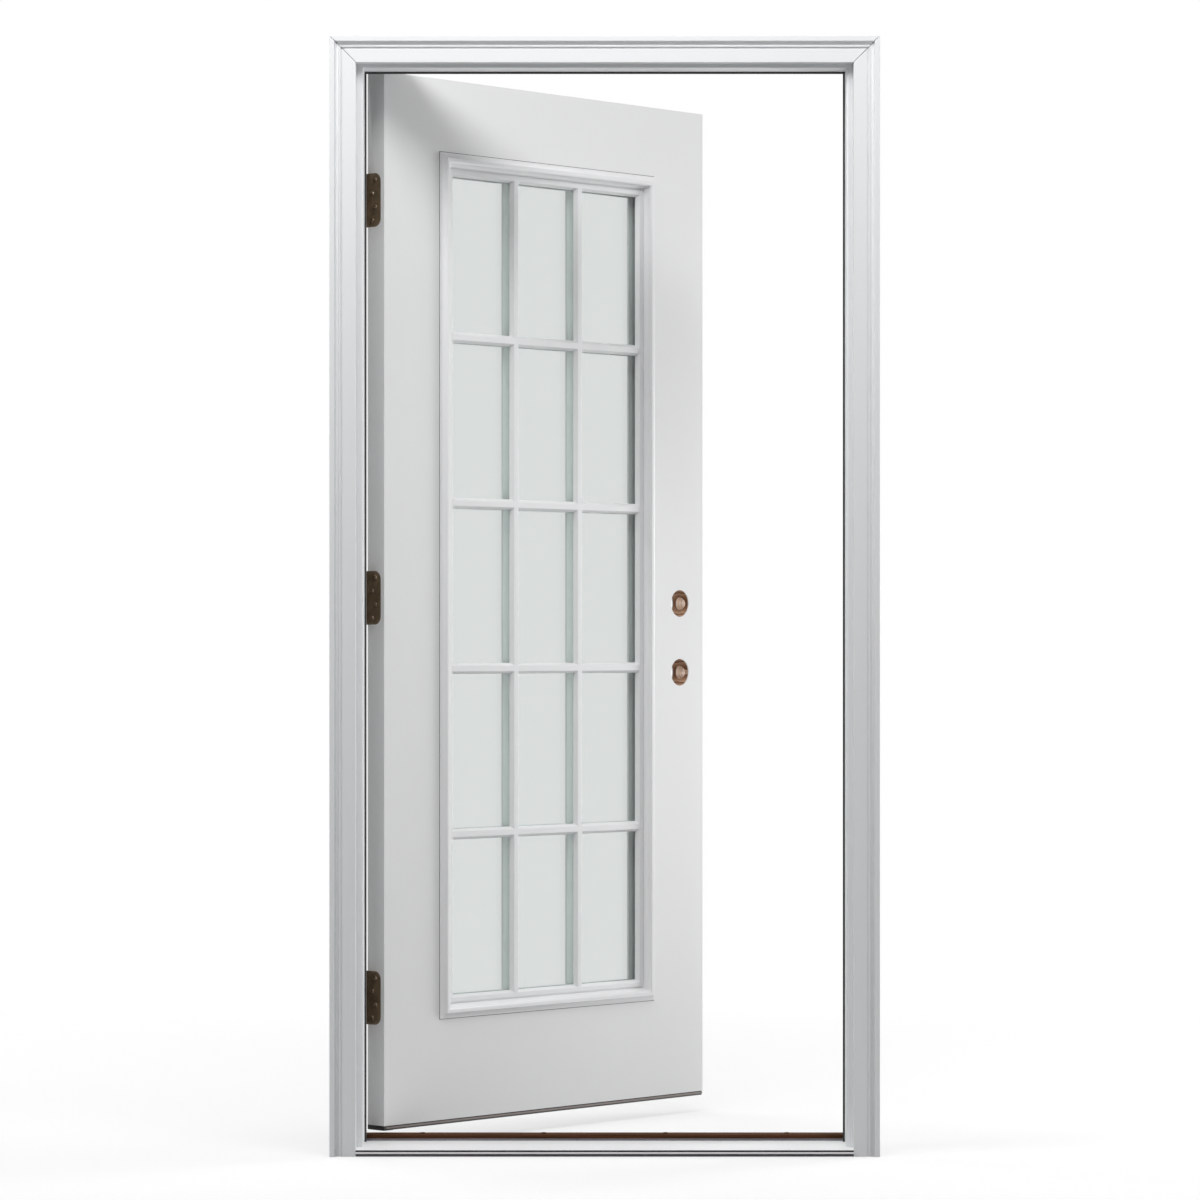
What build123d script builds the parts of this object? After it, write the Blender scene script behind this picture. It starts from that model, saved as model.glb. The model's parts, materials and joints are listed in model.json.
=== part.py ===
from build123d import *
import os

# Exterior door unit with a fifteen lite leaf, standing open on its hinges.
# Millimetres. Z is up, the exterior looks along -Y, the hinges are at -X.
# The origin is under the sill, on the line where the casing meets the wall.

os.makedirs("parts", exist_ok=True)

# Leaf
LEAF_WIDTH = 912.3
LEAF_HEIGHT = 1993.0
LEAF_THICKNESS = 44.45
SKIN = 2.0
STILE_WIDTH = 32.0
RAIL_WIDTH = 38.0
REST_OPENING = 47.5          # degrees that the leaf stands open

# Frame
JAMB_DEPTH = 116.0
JAMB_THICKNESS = 31.75
RABBET = 10.0
GAP = 5.0                    # over the leaf, under its sweep and at its hinge edge
LOCK_GAP = 6.7               # wider, so that the leaf's far corner swings clear
STOP_DEPTH = 58.0
ARRIS = 1.5
UNIT_HEIGHT = 2087.0
CASING_WIDTH = 48.5
CASING_THICKNESS = 31.75
CASING_REVEAL = 12.0

# Casing section, from its outer edge inwards
BAND_WIDTH = 9.5
COVE_END = 16.6
COVE_HEIGHT = 23.8
CASING_COVE_SAG = 2.2
BEAD_START = 17.3
BEAD_END = 20.0
BEAD_HEIGHT = 26.5
QUIRK_END = 23.2
QUIRK_HEIGHT = 23.0
FLAT_HEIGHT = 25.5
MITRE_GAP = 0.7              # open line where a leg and the head meet

# Sill
SILL_NOSE = 30.75            # how far the sill stands out in front of the wall line
NOSE_TOP = 13.0
NOSE_BOTTOM = 5.4
NOSE_WALL = 6.0
DECK_THICKNESS = 2.0
DECK_BACK = 72.0
DECK_RISE = 5.8
LIP_TOP = 22.6
LIP_WALL = 2.0
GROOVE_LOW = 8.8             # drip groove along the nose
GROOVE_HIGH = 12.0
GROOVE_DEPTH = 4.5
CAP_SEAT = 20.0
CAP_TOP = 30.0
CAP_BACK = 114.0
CAP_ROUND = 2.5
SIDE_PLAY = 0.5

# Weatherstrip
STRIP_DEPTH = 8.0
STRIP_SHOWING = 3.7          # how far it stands past the stop
STRIP_ROUND = 3.5

# Hinges
KNUCKLE_RADIUS = 7.0
PIN_STANDOFF = 11.4          # from the interior face of the shut leaf to the pin's axis
PIN_RADIUS = 3.8
PIN_PLAY = 0.05
PIN_HEAD_RADIUS = 5.5
PIN_HEAD = 3.0
PIN_HEAD_BEVEL = 1.2
HINGE_HEIGHT = 101.6
HINGE_LEAF = 35.0
HINGE_PLATE = 2.4
PLATE_PLAY = 0.6             # between a hinge leaf's plate and the other leaf's knuckles
HINGE_CORNER = 15.9
HINGE_FROM_END = 241.0
MIDDLE_HINGE_RISE = 2.2      # the middle hinge is this much above half height
KNUCKLES = 5
KNUCKLE_GAP = 0.4

# Lock prep
BACKSET = 69.85
LOCK_BORE_RADIUS = 27.0
EDGE_BORE_RADIUS = 12.7
LATCH_HEIGHT = 854.3         # above the bottom of the leaf
BORE_SPACING = 139.7
BLOCK_WIDTH = 106.0
BLOCK_HEIGHT = 390.0
STRIKE_WIDTH = 28.6
STRIKE_HEIGHT = 57.2
STRIKE_RECESS = 1.6
STRIKE_POCKET_WIDTH = 20.0
STRIKE_POCKET_HEIGHT = 36.0
STRIKE_POCKET_DEPTH = 15.0

# Glazing
LITE_WIDTH = 614.0
LITE_HEIGHT = 1660.0
LITE_BOTTOM = 193.5          # above the bottom of the leaf
LITE_BORDER = 43.5
LITE_OVERLAP = 10.0          # the frames cover the edge of the opening by this much
GLASS_UNIT = 19.05
PANE = 3.0
GLASS_PLAY = 8.0
GLASS_TAPE = 0.3             # bedding between the glass and the mouldings
SPACER_WIDTH = 10.0
SPACER_SEAL = 0.2
BAR_WIDTH = 21.0
BAR_BEVEL = 5.0
BAR_EDGE = 3.0
BAR_HEIGHT = 9.5
COLUMNS = 3
ROWS = 5

# Lite frame section, from its outer edge inwards; heights are from the leaf's face
LIP_WIDTH = 2.2
LIP_HEIGHT = 2.5
CREST_START = 10.6
CREST_END = 15.8
CREST_HEIGHT = 11.0
COVE_SAG = 1.3
ROUNDOVER = 5.0
OGEE_END = 26.0
REED_START = 30.0
REED_GROOVE = 2.8            # depth of the groove outside the inner reed

# Bottom sweep
SWEEP_DROP = 8.7
SWEEP_KERF = 2.2             # shadow line between the leaf and the sweep's band
SWEEP_BAND = 5.7             # from the leaf down to the band's lower edge
SWEEP_INSET = 1.0
SWEEP_SETBACK = 1.5
FIN = 2.5
FINS = 4
END_PAD = 6.0
PAD_TOE = 17.0               # how far the pad runs on along the sweep's front
PAD_TOE_THICKNESS = 2.4

# Places worked out from the sizes above
rabbet_x = (LEAF_WIDTH + GAP + LOCK_GAP) / 2
leaf_x = (GAP - LOCK_GAP) / 2
stop_x = rabbet_x - RABBET
jamb_x = stop_x + JAMB_THICKNESS
casing_in_x = stop_x + CASING_REVEAL
casing_x = casing_in_x + CASING_WIDTH
leaf_back = JAMB_DEPTH
leaf_front = leaf_back - LEAF_THICKNESS
leaf_bottom = CAP_TOP + GAP + SWEEP_DROP
leaf_top = leaf_bottom + LEAF_HEIGHT
rabbet_z = leaf_top + GAP
stop_z = rabbet_z - RABBET
head_top = stop_z + JAMB_THICKNESS
hinge_edge = leaf_x - LEAF_WIDTH / 2
lock_edge = leaf_x + LEAF_WIDTH / 2
pin_x = hinge_edge - GAP / 2
pin_y = JAMB_DEPTH + PIN_STANDOFF
plate_past = PIN_STANDOFF - KNUCKLE_RADIUS - PLATE_PLAY
lip_back = DECK_BACK + LIP_WALL
lock_x = lock_edge - BACKSET
latch_z = leaf_bottom + LATCH_HEIGHT
bolt_z = latch_z + BORE_SPACING
mid_leaf = (leaf_front + leaf_back) / 2
lite_middle = leaf_bottom + LITE_BOTTOM + LITE_HEIGHT / 2
glass_front = mid_leaf - GLASS_UNIT / 2
glass_back = mid_leaf + GLASS_UNIT / 2
glass_depth = glass_front - leaf_front

PIN = Axis((pin_x, pin_y, 0), (0, 0, 1))
HINGES = {
    "top": leaf_top - HINGE_FROM_END,
    "middle": leaf_bottom + LEAF_HEIGHT / 2 + MIDDLE_HINGE_RISE,
    "bottom": leaf_bottom + HINGE_FROM_END,
}


def facade(y):
    """Upright plane at depth y that looks outside: X runs across and Y runs up."""
    return Plane.XZ.offset(-y)


def save(part, name):
    part.label = name
    export_step(part, f"parts/{name}.step")


def hang(part, name):
    """The leaf is drawn shut and swung to where it stands open."""
    save(part.rotate(PIN, REST_OPENING), name)


# Sill
def cope_to_sill():
    """Cuts the foot of an upright to the deck, lip and cap seat that it stands on."""
    with BuildSketch(Plane.YZ.offset(-casing_x)) as outline:
        with BuildLine():
            Polyline(
                (-SILL_NOSE, 0),
                (-SILL_NOSE, NOSE_TOP),
                (DECK_BACK, NOSE_TOP + DECK_RISE),
                (DECK_BACK, LIP_TOP),
                (lip_back, LIP_TOP),
                (lip_back, CAP_SEAT),
                (JAMB_DEPTH, CAP_SEAT),
                (JAMB_DEPTH, 0),
                close=True,
            )
        make_face()
    extrude(outline.sketch, amount=2 * casing_x, mode=Mode.SUBTRACT)


def clear_casing_feet():
    """The sill's ears stop behind the casing, and its nose fits between the casing's feet."""
    with BuildSketch(Plane.XY) as feet:
        for side in (-1, 1):
            with Locations((side * (casing_in_x + CASING_WIDTH / 2), -CASING_WIDTH / 2)):
                Rectangle(CASING_WIDTH, CASING_WIDTH)
    extrude(feet.sketch, amount=CAP_TOP, mode=Mode.SUBTRACT)


under_nose = -SILL_NOSE + NOSE_WALL
deck_underside = NOSE_TOP - DECK_THICKNESS

with BuildPart() as sill_base:
    with BuildSketch(Plane.YZ.offset(-jamb_x)):
        with BuildLine():
            Polyline(
                (under_nose, 0),
                (under_nose, deck_underside),
                (DECK_BACK, deck_underside + DECK_RISE),
                (DECK_BACK, LIP_TOP),
                (lip_back, LIP_TOP),
                (lip_back, CAP_SEAT),
                (JAMB_DEPTH, CAP_SEAT),
                (JAMB_DEPTH, 0),
                close=True,
            )
        make_face()
    extrude(amount=2 * jamb_x)
    clear_casing_feet()
save(sill_base.part, "sill_base")

with BuildPart() as sill_deck:
    with BuildSketch(Plane.YZ.offset(-jamb_x)):
        with BuildLine():
            Polyline(
                (under_nose, NOSE_BOTTOM),
                (-SILL_NOSE, NOSE_BOTTOM),
                (-SILL_NOSE, GROOVE_LOW),
                (-SILL_NOSE + GROOVE_DEPTH, GROOVE_LOW),
                (-SILL_NOSE + GROOVE_DEPTH, GROOVE_HIGH),
                (-SILL_NOSE, GROOVE_HIGH),
                (-SILL_NOSE, NOSE_TOP),
                (DECK_BACK, NOSE_TOP + DECK_RISE),
                (DECK_BACK, deck_underside + DECK_RISE),
                (under_nose, deck_underside),
                close=True,
            )
        make_face()
    extrude(amount=2 * jamb_x)
    clear_casing_feet()
save(sill_deck.part, "sill_deck")

cap_front = lip_back + SIDE_PLAY
cap_reach = rabbet_x - SIDE_PLAY

with BuildPart() as sill_cap:
    with BuildSketch(Plane.YZ.offset(-cap_reach)):
        with Locations((cap_front, CAP_SEAT)):
            Rectangle(CAP_BACK - cap_front, CAP_TOP - CAP_SEAT, align=(Align.MIN, Align.MIN))
        fillet(vertices().group_by(Axis.Y)[-1], CAP_ROUND)
    extrude(amount=2 * cap_reach)
save(sill_cap.part, "sill_cap")


# Jambs
def hinge_plate(edge_x, height, past=0.0):
    """Hinge leaf's outline on its mortise, two corners round; it may run past the wood."""
    with BuildSketch(Plane.YZ.offset(edge_x)) as plate:
        with Locations((JAMB_DEPTH + past, height)):
            Rectangle(HINGE_LEAF + past, HINGE_HEIGHT, align=(Align.MAX, Align.CENTER))
        fillet(vertices().group_by(Axis.X)[0], HINGE_CORNER)
    return plate.sketch


def jamb(side):
    """Upright of the frame: the stop in front, the rabbet for the leaf behind."""
    with BuildPart() as upright:
        with BuildSketch(Plane.XY):
            with BuildLine():
                Polyline(
                    (side * jamb_x, 0),
                    (side * stop_x, 0),
                    (side * stop_x, STOP_DEPTH),
                    (side * rabbet_x, STOP_DEPTH),
                    (side * rabbet_x, JAMB_DEPTH),
                    (side * jamb_x, JAMB_DEPTH),
                    close=True,
                )
            make_face()
            exposed = [v for v in vertices() if v.Y < 1 and abs(v.X) < rabbet_x]
            fillet(exposed, ARRIS)
        extrude(amount=head_top)
        cope_to_sill()
    return upright.part


with BuildPart() as hinge_jamb:
    add(jamb(-1))
    for height in HINGES.values():
        extrude(hinge_plate(-rabbet_x, height), amount=-HINGE_PLATE, mode=Mode.SUBTRACT)
save(hinge_jamb.part, "hinge_jamb")

with BuildPart() as strike_jamb:
    add(jamb(1))
    with BuildSketch(Plane.YZ.offset(rabbet_x)):
        with Locations((mid_leaf, latch_z), (mid_leaf, bolt_z)):
            Rectangle(STRIKE_WIDTH, STRIKE_HEIGHT)
    extrude(amount=STRIKE_RECESS, mode=Mode.SUBTRACT)
    with BuildSketch(Plane.YZ.offset(rabbet_x)):
        with Locations((mid_leaf, latch_z), (mid_leaf, bolt_z)):
            Rectangle(STRIKE_POCKET_WIDTH, STRIKE_POCKET_HEIGHT)
    extrude(amount=STRIKE_POCKET_DEPTH, mode=Mode.SUBTRACT)
save(strike_jamb.part, "strike_jamb")

with BuildPart() as head_jamb:
    with BuildSketch(Plane.XY.offset(stop_z)):
        Rectangle(2 * stop_x, STOP_DEPTH, align=(Align.CENTER, Align.MIN))
    extrude(amount=JAMB_THICKNESS)
    fillet(edges().filter_by(Axis.X).group_by(Axis.Z)[0].sort_by(Axis.Y)[0], ARRIS)
    with BuildSketch(Plane.XY.offset(rabbet_z)):
        with Locations((0, STOP_DEPTH)):
            Rectangle(2 * rabbet_x, JAMB_DEPTH - STOP_DEPTH, align=(Align.CENTER, Align.MIN))
    extrude(amount=head_top - rabbet_z)
save(head_jamb.part, "head_jamb")


# Casing
def casing_section(plane):
    """Moulding section: X runs from the outer edge inwards, Y out from the wall."""
    with BuildSketch(plane) as section:
        with BuildLine():
            Polyline(
                (COVE_END, COVE_HEIGHT),
                (BEAD_START, COVE_HEIGHT),
                (BEAD_START, BEAD_HEIGHT),
                (BEAD_END, BEAD_HEIGHT),
                (BEAD_END, QUIRK_HEIGHT),
                (QUIRK_END, QUIRK_HEIGHT),
                (QUIRK_END, FLAT_HEIGHT),
                (CASING_WIDTH, FLAT_HEIGHT),
                (CASING_WIDTH, 0),
                (0, 0),
                (0, CASING_THICKNESS),
                (BAND_WIDTH, CASING_THICKNESS),
            )
            SagittaArc((BAND_WIDTH, CASING_THICKNESS), (COVE_END, COVE_HEIGHT), -CASING_COVE_SAG)
        make_face()
    return section.sketch


def mitre(side):
    """Plane through the joint of a leg and the head, facing the head's side."""
    return Plane(origin=(side * casing_x, 0, UNIT_HEIGHT), x_dir=(0, 1, 0), z_dir=(-side, 0, 1))


for side, name in ((-1, "casing_left"), (1, "casing_right")):
    foot = Plane(origin=(side * casing_x, 0, 0), x_dir=(-side, 0, 0), z_dir=(0, 0, side))
    with BuildPart() as casing_leg:
        extrude(casing_section(foot), amount=side * UNIT_HEIGHT)
        split(bisect_by=mitre(side), keep=Keep.BOTTOM)
    save(casing_leg.part, name)

with BuildPart() as casing_head:
    top = Plane(origin=(-casing_x, 0, UNIT_HEIGHT), x_dir=(0, 0, -1), z_dir=(-1, 0, 0))
    extrude(casing_section(top), amount=-2 * casing_x)
    for side in (-1, 1):
        split(bisect_by=mitre(side).offset(MITRE_GAP), keep=Keep.TOP)
save(casing_head.part, "casing_head")

# Weatherstrip
strip_width = RABBET + STRIP_SHOWING
strip_z = rabbet_z - strip_width

for side, name in ((-1, "weatherstrip_hinge"), (1, "weatherstrip_strike")):
    with BuildPart() as side_strip:
        with BuildSketch(Plane.XY):
            with Locations((side * (rabbet_x - strip_width / 2), STOP_DEPTH + STRIP_DEPTH / 2)):
                Rectangle(strip_width, STRIP_DEPTH)
            fillet(vertices().sort_by(Axis.X)[::side][:2], STRIP_ROUND)
        extrude(amount=strip_z)
        cope_to_sill()
    save(side_strip.part, name)

with BuildPart() as weatherstrip_head:
    with BuildSketch(Plane.YZ.offset(-rabbet_x)):
        with Locations((STOP_DEPTH + STRIP_DEPTH / 2, rabbet_z - strip_width / 2)):
            Rectangle(STRIP_DEPTH, strip_width)
        fillet(vertices().group_by(Axis.Y)[0], STRIP_ROUND)
    extrude(amount=2 * rabbet_x)
save(weatherstrip_head.part, "weatherstrip_head")

# Hinges
knuckle = HINGE_HEIGHT / KNUCKLES


def hinge_leaf(edge_x, away, height, first):
    """Plate in its mortise, with every other knuckle rolled round the pin, counted from first."""
    with BuildPart() as leaf:
        extrude(hinge_plate(edge_x, height, plate_past), amount=away * HINGE_PLATE)
        for index in range(first, KNUCKLES, 2):
            low = height - HINGE_HEIGHT / 2 + index * knuckle + KNUCKLE_GAP / 2
            with BuildSketch(Plane.XY.offset(low)):
                with Locations((pin_x, pin_y)):
                    Circle(KNUCKLE_RADIUS)
                with Locations((edge_x + away * HINGE_PLATE / 2, JAMB_DEPTH)):
                    Rectangle(HINGE_PLATE, PIN_STANDOFF, align=(Align.CENTER, Align.MIN))
                with Locations((pin_x, pin_y)):
                    Circle(PIN_RADIUS + PIN_PLAY, mode=Mode.SUBTRACT)
            extrude(amount=knuckle - KNUCKLE_GAP)
    return leaf.part


for place, height in HINGES.items():
    save(hinge_leaf(-rabbet_x, -1, height, first=0), f"frame_hinge_{place}")
    hang(hinge_leaf(hinge_edge, 1, height, first=1), f"door_hinge_{place}")
    with BuildPart() as hinge_pin:
        with BuildSketch(Plane.XY.offset(height - HINGE_HEIGHT / 2)):
            with Locations((pin_x, pin_y)):
                Circle(PIN_RADIUS)
        extrude(amount=HINGE_HEIGHT)
        with BuildSketch(Plane.XY.offset(height + HINGE_HEIGHT / 2)):
            with Locations((pin_x, pin_y)):
                Circle(PIN_HEAD_RADIUS)
        extrude(amount=PIN_HEAD)
        chamfer(edges().filter_by(GeomType.CIRCLE).sort_by(Axis.Z)[-1], PIN_HEAD_BEVEL)
    save(hinge_pin.part, f"hinge_pin_{place}")


# Slab
def panel(left, low, right, high):
    """Rectangle between two corners."""
    with Locations(((left + right) / 2, (low + high) / 2)):
        Rectangle(right - left, high - low)


def lite_opening():
    with Locations((leaf_x, lite_middle)):
        Rectangle(
            LITE_WIDTH - 2 * LITE_OVERLAP,
            LITE_HEIGHT - 2 * LITE_OVERLAP,
            mode=Mode.SUBTRACT,
        )


def lock_bores():
    with Locations((lock_x, latch_z), (lock_x, bolt_z)):
        Circle(LOCK_BORE_RADIUS, mode=Mode.SUBTRACT)


def edge_bores(length):
    with BuildSketch(Plane.YZ.offset(lock_edge)) as bores:
        with Locations((mid_leaf, latch_z), (mid_leaf, bolt_z)):
            Circle(EDGE_BORE_RADIUS)
    extrude(bores.sketch, amount=-length, mode=Mode.SUBTRACT)


def hinge_mortises():
    for height in HINGES.values():
        extrude(hinge_plate(hinge_edge, height), amount=HINGE_PLATE, mode=Mode.SUBTRACT)


filling_back = leaf_back - SKIN
filling = LEAF_THICKNESS - 2 * SKIN

with BuildPart() as skin_exterior:
    with BuildSketch(facade(leaf_front + SKIN)):
        panel(hinge_edge, leaf_bottom, lock_edge, leaf_top)
        lite_opening()
        lock_bores()
    extrude(amount=SKIN)
hang(skin_exterior.part, "skin_exterior")

with BuildPart() as skin_interior:
    with BuildSketch(facade(leaf_back)):
        panel(hinge_edge, leaf_bottom, lock_edge, leaf_top)
        lite_opening()
        lock_bores()
    extrude(amount=SKIN)
    hinge_mortises()
hang(skin_interior.part, "skin_interior")

with BuildPart() as stile_hinge:
    with BuildSketch(facade(filling_back)):
        panel(hinge_edge, leaf_bottom, hinge_edge + STILE_WIDTH, leaf_top)
    extrude(amount=filling)
    hinge_mortises()
hang(stile_hinge.part, "stile_hinge")

with BuildPart() as stile_lock:
    with BuildSketch(facade(filling_back)):
        panel(lock_edge - STILE_WIDTH, leaf_bottom, lock_edge, leaf_top)
    extrude(amount=filling)
    edge_bores(STILE_WIDTH)
hang(stile_lock.part, "stile_lock")

inner_left = hinge_edge + STILE_WIDTH
inner_right = lock_edge - STILE_WIDTH
inner_low = leaf_bottom + RAIL_WIDTH
inner_high = leaf_top - RAIL_WIDTH

for name, low, high in (
    ("rail_top", inner_high, leaf_top),
    ("rail_bottom", leaf_bottom, inner_low),
):
    with BuildPart() as rail:
        with BuildSketch(facade(filling_back)):
            panel(inner_left, low, inner_right, high)
        extrude(amount=filling)
    hang(rail.part, name)

block_left = inner_right - BLOCK_WIDTH
block_low = (latch_z + bolt_z - BLOCK_HEIGHT) / 2
block_high = block_low + BLOCK_HEIGHT

with BuildPart() as lock_block:
    with BuildSketch(facade(filling_back)):
        panel(block_left, block_low, inner_right, block_high)
        lock_bores()
    extrude(amount=filling)
    edge_bores(BACKSET)
hang(lock_block.part, "lock_block")

with BuildPart() as foam_core:
    with BuildSketch(facade(filling_back)):
        panel(inner_left, inner_low, inner_right, inner_high)
        lite_opening()
        with Locations((inner_right - BLOCK_WIDTH / 2, (block_low + block_high) / 2)):
            Rectangle(BLOCK_WIDTH, BLOCK_HEIGHT, mode=Mode.SUBTRACT)
    extrude(amount=filling)
hang(foam_core.part, "foam_core")

# Glazing
glass_width = LITE_WIDTH - 2 * LITE_OVERLAP - GLASS_PLAY
glass_height = LITE_HEIGHT - 2 * LITE_OVERLAP - GLASS_PLAY

for name, back in (("pane_exterior", glass_front + PANE), ("pane_interior", glass_back)):
    with BuildPart() as pane:
        with BuildSketch(facade(back)):
            with Locations((leaf_x, lite_middle)):
                Rectangle(glass_width, glass_height)
        extrude(amount=PANE)
    hang(pane.part, name)

with BuildPart() as glass_spacer:
    with BuildSketch(facade(glass_back - PANE - SPACER_SEAL)):
        with Locations((leaf_x, lite_middle)):
            Rectangle(glass_width, glass_height)
            Rectangle(
                glass_width - 2 * SPACER_WIDTH,
                glass_height - 2 * SPACER_WIDTH,
                mode=Mode.SUBTRACT,
            )
    extrude(amount=GLASS_UNIT - 2 * (PANE + SPACER_SEAL))
hang(glass_spacer.part, "glass_spacer")


lite_left = leaf_x - LITE_WIDTH / 2
lite_right = leaf_x + LITE_WIDTH / 2
lite_low = lite_middle - LITE_HEIGHT / 2
lite_high = lite_middle + LITE_HEIGHT / 2
frame_seat = GLASS_TAPE - glass_depth
reed_height = BAR_HEIGHT - glass_depth
reed_bevel = LITE_BORDER - BAR_BEVEL


def lite_section(plane):
    """Lip, cove, crest, ogee and reed: X runs from the outer edge inwards, Y out from the leaf."""
    with BuildSketch(plane) as section:
        with BuildLine():
            Line((0, 0), (0, LIP_HEIGHT))
            Line((0, LIP_HEIGHT), (LIP_WIDTH, LIP_HEIGHT))
            SagittaArc((LIP_WIDTH, LIP_HEIGHT), (CREST_START, CREST_HEIGHT), -COVE_SAG)
            Line((CREST_START, CREST_HEIGHT), (CREST_END, CREST_HEIGHT))
            CenterArc((CREST_END, CREST_HEIGHT - ROUNDOVER), ROUNDOVER, 0, 90)
            TangentArc(
                (CREST_END + ROUNDOVER, CREST_HEIGHT - ROUNDOVER),
                (OGEE_END, reed_height),
                tangent=(0, -1),
            )
            Polyline(
                (OGEE_END, reed_height),
                (OGEE_END, reed_height - REED_GROOVE),
                (REED_START, reed_height - REED_GROOVE),
                (REED_START, reed_height),
                (reed_bevel, reed_height),
                (LITE_BORDER, BAR_EDGE - glass_depth),
                (LITE_BORDER, frame_seat),
                (LITE_OVERLAP, frame_seat),
                (LITE_OVERLAP, 0),
                (0, 0),
            )
        make_face()
    return section.sketch


def lite_frame(face, out):
    """Moulded frame on a face of the leaf; out is the way it stands proud."""
    start = Plane(origin=(leaf_x, face, lite_low), x_dir=(0, 0, 1), z_dir=(-out, 0, 0))
    with BuildPart() as ring:
        with BuildLine(facade(face)):
            Polyline(
                (leaf_x, lite_low),
                (lite_right, lite_low),
                (lite_right, lite_high),
                (lite_left, lite_high),
                (lite_left, lite_low),
                (leaf_x, lite_low),
            )
        sweep(lite_section(start), transition=Transition.RIGHT)
    return ring.part


def bar_section(plane):
    """Glazing bar with the reed's bevel on both sides: X runs across it, Y out from the glass."""
    half = BAR_WIDTH / 2
    top = half - BAR_BEVEL
    with BuildSketch(plane) as section:
        with BuildLine():
            Polyline(
                (-half, GLASS_TAPE),
                (-half, BAR_EDGE),
                (-top, BAR_HEIGHT),
                (top, BAR_HEIGHT),
                (half, BAR_EDGE),
                (half, GLASS_TAPE),
                close=True,
            )
        make_face()
    return section.sketch


sight_width = LITE_WIDTH - 2 * LITE_BORDER
sight_height = LITE_HEIGHT - 2 * LITE_BORDER
column_pitch = (sight_width + BAR_WIDTH) / COLUMNS
row_pitch = (sight_height + BAR_WIDTH) / ROWS
bar_inset = (REED_START + reed_bevel) / 2


def grille(glass, out, frame):
    """Bars on a face of the glass; their bevels meet the reed of the moulded frame in mitres."""
    with BuildPart() as bars:
        for column in range(1, COLUMNS):
            x = leaf_x - sight_width / 2 + column * column_pitch - BAR_WIDTH / 2
            foot = Plane(
                origin=(x, glass, lite_low + bar_inset),
                x_dir=(out, 0, 0),
                z_dir=(0, 0, 1),
            )
            extrude(bar_section(foot), amount=LITE_HEIGHT - 2 * bar_inset)
        for row in range(1, ROWS):
            z = lite_middle - sight_height / 2 + row * row_pitch - BAR_WIDTH / 2
            end = Plane(
                origin=(lite_left + bar_inset, glass, z),
                x_dir=(0, 0, -out),
                z_dir=(1, 0, 0),
            )
            extrude(bar_section(end), amount=LITE_WIDTH - 2 * bar_inset)
        add(frame, mode=Mode.SUBTRACT)
    return bars.part


for name, face, glass, out in (
    ("exterior", leaf_front, glass_front, -1),
    ("interior", leaf_back, glass_back, 1),
):
    frame = lite_frame(face, out)
    hang(frame, f"lite_frame_{name}")
    hang(grille(glass, out, frame), f"grille_{name}")

# Bottom sweep
sweep_front = leaf_front + SWEEP_INSET
sweep_back = leaf_back - SWEEP_INSET
fin_front = sweep_front + SWEEP_SETBACK
fin_back = sweep_back - SWEEP_SETBACK
fin_pitch = (fin_back - fin_front - FIN) / (FINS - 1)
kerf_bottom = leaf_bottom - SWEEP_KERF
band_bottom = leaf_bottom - SWEEP_BAND
sweep_bottom = leaf_bottom - SWEEP_DROP

with BuildPart() as bottom_sweep:
    with BuildSketch(Plane.YZ.offset(hinge_edge + END_PAD)):
        panel(fin_front, kerf_bottom, fin_back, leaf_bottom)
        panel(sweep_front, band_bottom, sweep_back, kerf_bottom)
        for index in range(FINS):
            fin = fin_front + index * fin_pitch
            panel(fin, sweep_bottom, fin + FIN, band_bottom)
    extrude(amount=LEAF_WIDTH - END_PAD)
hang(bottom_sweep.part, "bottom_sweep")

with BuildPart() as sweep_end_pad:
    with BuildSketch(Plane.YZ.offset(hinge_edge)):
        panel(leaf_front, sweep_bottom, leaf_back, leaf_bottom)
    extrude(amount=END_PAD)
    with BuildSketch(Plane.YZ.offset(hinge_edge)):
        panel(leaf_front, sweep_bottom, leaf_front + PAD_TOE_THICKNESS, band_bottom)
    extrude(amount=END_PAD + PAD_TOE)
hang(sweep_end_pad.part, "sweep_end_pad")
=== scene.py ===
import json
import math

import bmesh
import bpy
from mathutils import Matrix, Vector


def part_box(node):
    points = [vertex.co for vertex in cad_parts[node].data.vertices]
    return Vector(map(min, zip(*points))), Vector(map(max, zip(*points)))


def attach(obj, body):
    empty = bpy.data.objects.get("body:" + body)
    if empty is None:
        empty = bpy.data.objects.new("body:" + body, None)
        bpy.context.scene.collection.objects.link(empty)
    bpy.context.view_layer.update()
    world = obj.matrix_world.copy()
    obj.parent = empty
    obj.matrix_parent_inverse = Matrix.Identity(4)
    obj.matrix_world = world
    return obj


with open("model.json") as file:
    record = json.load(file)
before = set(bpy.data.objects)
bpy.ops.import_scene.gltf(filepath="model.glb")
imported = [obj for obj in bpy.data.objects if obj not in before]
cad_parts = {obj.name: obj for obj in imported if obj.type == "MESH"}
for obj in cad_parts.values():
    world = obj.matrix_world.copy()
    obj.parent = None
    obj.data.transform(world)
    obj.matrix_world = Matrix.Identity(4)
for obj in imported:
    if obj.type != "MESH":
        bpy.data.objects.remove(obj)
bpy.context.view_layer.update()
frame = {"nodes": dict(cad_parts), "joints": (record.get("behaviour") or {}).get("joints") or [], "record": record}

# Exterior door unit: a glazed leaf divided by bars, standing open in its cased frame.
# Metres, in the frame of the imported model: Z is up and the exterior looks along -Y.

MM = 0.001
scene = bpy.context.scene
nodes = frame["nodes"]
opening = math.radians(-frame["joints"][0]["range_deg"][0])
along = Vector((math.cos(opening), math.sin(opening), 0))
outward = Vector((math.sin(opening), -math.cos(opening), 0))
up = Vector((0, 0, 1))


def span(node, direction):
    """Lowest and highest place of a node's corners along a direction."""
    reach = [corner.co.dot(direction) for corner in nodes[node].data.vertices]
    return min(reach), max(reach)


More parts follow.
